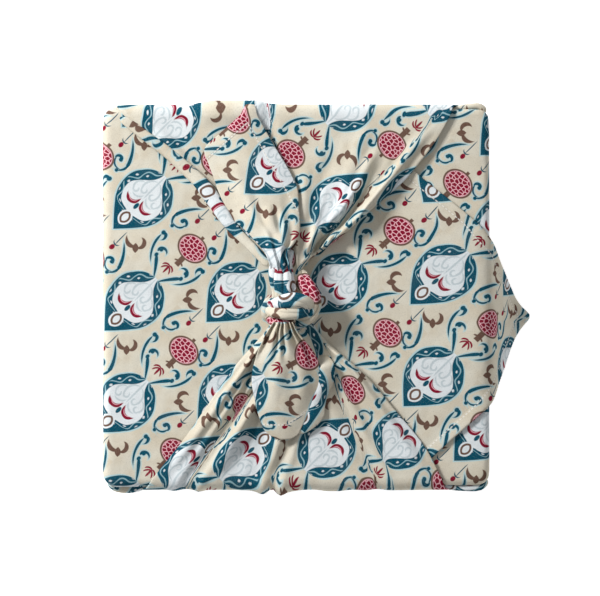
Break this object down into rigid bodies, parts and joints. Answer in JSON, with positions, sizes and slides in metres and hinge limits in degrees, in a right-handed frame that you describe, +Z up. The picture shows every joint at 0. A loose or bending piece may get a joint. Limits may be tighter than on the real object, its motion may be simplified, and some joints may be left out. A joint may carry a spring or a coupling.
{
  "type": "furoshiki wrap",
  "caption": "Square printed cloth wrapped round a flat square parcel, side corners lapped over the top and the others tied in a knot with free tails.",
  "frame": {"origin": "middle of the flat base that the wrapped parcel rests on", "axes": "+Z up through the knot, +Y towards the side of the upper tail, +X towards the side where the lapped tip hangs over the edge"},
  "size_m": [0.2734, 0.247, 0.0845],
  "materials": {
    "printed_cotton": "printed plain-weave cotton, beige ground with teal, white, crimson and brown motifs"
  },
  "bodies": {
    "root": {"furoshiki_cloth": "printed_cotton"}
  },
  "joints": []
}
